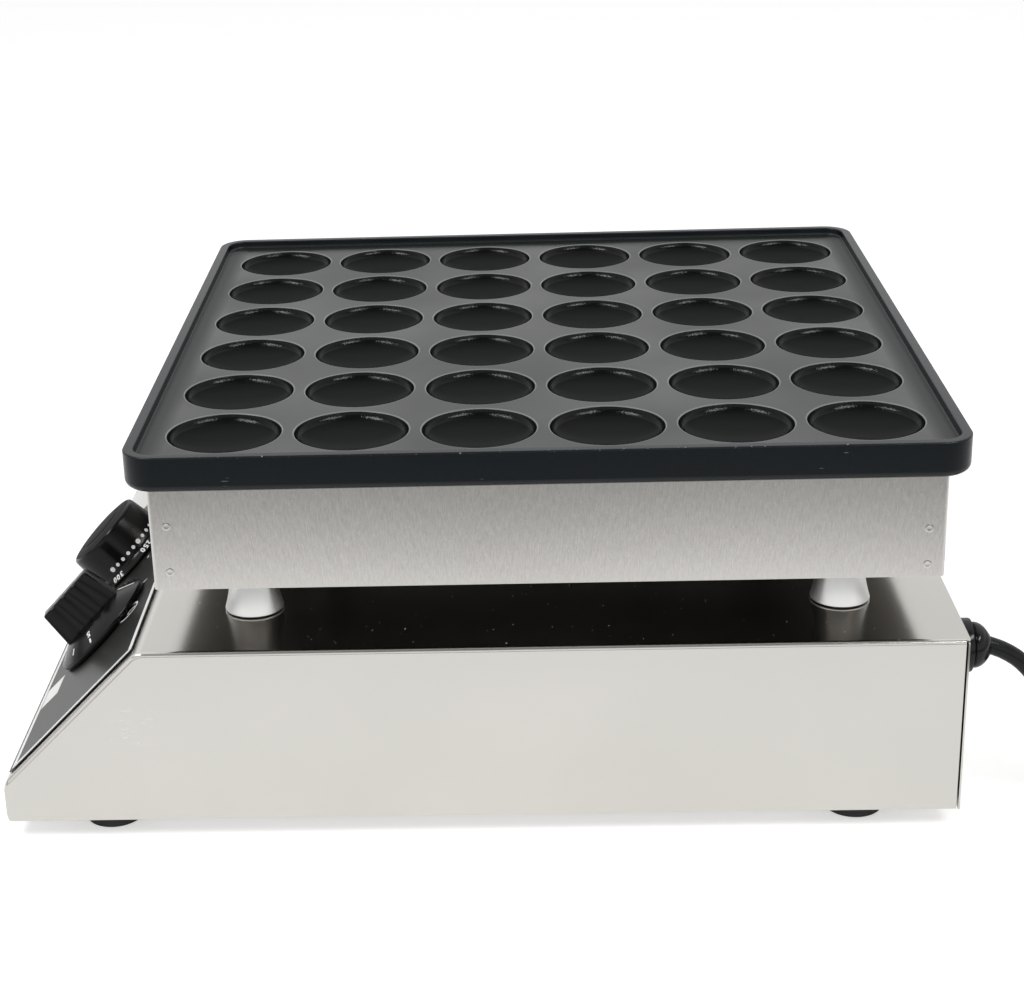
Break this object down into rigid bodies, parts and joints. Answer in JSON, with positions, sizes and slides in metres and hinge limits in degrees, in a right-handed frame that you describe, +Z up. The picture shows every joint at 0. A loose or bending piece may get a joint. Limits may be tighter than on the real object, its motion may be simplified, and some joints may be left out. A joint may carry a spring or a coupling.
{
  "type": "mini pancake maker",
  "caption": "Electric table-top griddle: a cast plate of round wells on a heater box, raised on turned stand-offs over a sheet-steel base with a sloped control panel.",
  "frame": {"origin": "on the table, under the middle of the machine without its lead", "axes": "+Z up; -Y towards the sloped control panel, where the user stands; +Y towards the rear panel, where the lead leaves; +X towards the side nearest the timer"},
  "size_m": [0.322, 0.5594, 0.1637],
  "materials": {
    "non_stick_casting": "dark non-stick coating on an aluminium casting",
    "brushed_stainless": "stainless sheet, brushed or smooth",
    "turned_aluminium": "bright turned metal",
    "zinc_steel": "zinc-plated steel",
    "element_sheath": "dark heat-oxidised sheath",
    "ceramic_wool": "off-white matted wool",
    "panel_print": "dark printed film, semi-gloss",
    "knob_plastic": "black moulded plastic",
    "black_rubber": "black rubber",
    "cord_sheath": "black cable sheath",
    "green_lens": "green translucent lens",
    "amber_lens": "amber translucent lens",
    "white_moulding": "off-white moulding",
    "wire_sleeve": "woven glass sleeve",
    "pin_metal": "nickel-plated pins"
  },
  "bodies": {
    "machine": {"baking_plate": "non_stick_casting", "base_floor": "brushed_stainless", "base_shell": "brushed_stainless", "clamp_stud_1": "zinc_steel", "clamp_stud_2": "zinc_steel", "clamp_stud_3": "zinc_steel", "clamp_stud_4": "zinc_steel", "control_panel": "brushed_stainless", "cord_coil": "cord_sheath", "cord_gland": "black_rubber", "cord_lead": "cord_sheath", "cord_tie": "black_rubber", "element_clamp_plate": "zinc_steel", "foot_1": "black_rubber", "foot_2": "black_rubber", "foot_3": "black_rubber", "foot_4": "black_rubber", "foot_bolt_1": "zinc_steel", "foot_bolt_2": "zinc_steel", "foot_bolt_3": "zinc_steel", "foot_bolt_4": "zinc_steel", "gland_nut": "black_rubber", "heater_housing": "brushed_stainless", "heating_element": "element_sheath", "heating_lamp": "amber_lens", "housing_floor": "brushed_stainless", "insulation_mat": "ceramic_wool", "lead_live": "wire_sleeve", "lead_neutral": "wire_sleeve", "lead_switched": "wire_sleeve", "panel_film": "panel_print", "plug_body": "cord_sheath", "plug_pin_1": "pin_metal", "plug_pin_2": "pin_metal", "power_lamp": "green_lens", "rear_panel": "brushed_stainless", "rear_screw_1": "zinc_steel", "rear_screw_2": "zinc_steel", "rear_screw_3": "zinc_steel", "rear_screw_4": "zinc_steel", "standoff_1": "turned_aluminium", "standoff_2": "turned_aluminium", "standoff_3": "turned_aluminium", "standoff_4": "turned_aluminium", "standoff_bolt_1": "zinc_steel", "standoff_bolt_2": "zinc_steel", "standoff_bolt_3": "zinc_steel", "standoff_bolt_4": "zinc_steel", "supply_lead": "cord_sheath", "terminal_block": "white_moulding", "thermostat_body": "white_moulding", "thermostat_bulb": "turned_aluminium", "thermostat_nut": "zinc_steel", "timer_body": "zinc_steel", "timer_nut": "zinc_steel", "wire_duct": "zinc_steel"},
    "thermostat": {"thermostat_knob": "knob_plastic", "thermostat_spindle": "zinc_steel"},
    "timer": {"timer_knob": "knob_plastic", "timer_spindle": "zinc_steel"}
  },
  "joints": [
    {"name": "thermostat_turn", "type": "hinge", "parent": "machine", "child": "thermostat", "pos_m": [0, -0.16151, 0.05404], "axis": [0, -0.7065, 0.7077], "range_deg": [-180, 120]},
    {"name": "timer_turn", "type": "hinge", "parent": "machine", "child": "timer", "pos_m": [0.0757, -0.16151, 0.05404], "axis": [0, -0.7065, 0.7077], "range_deg": [-260, 0]}
  ]
}
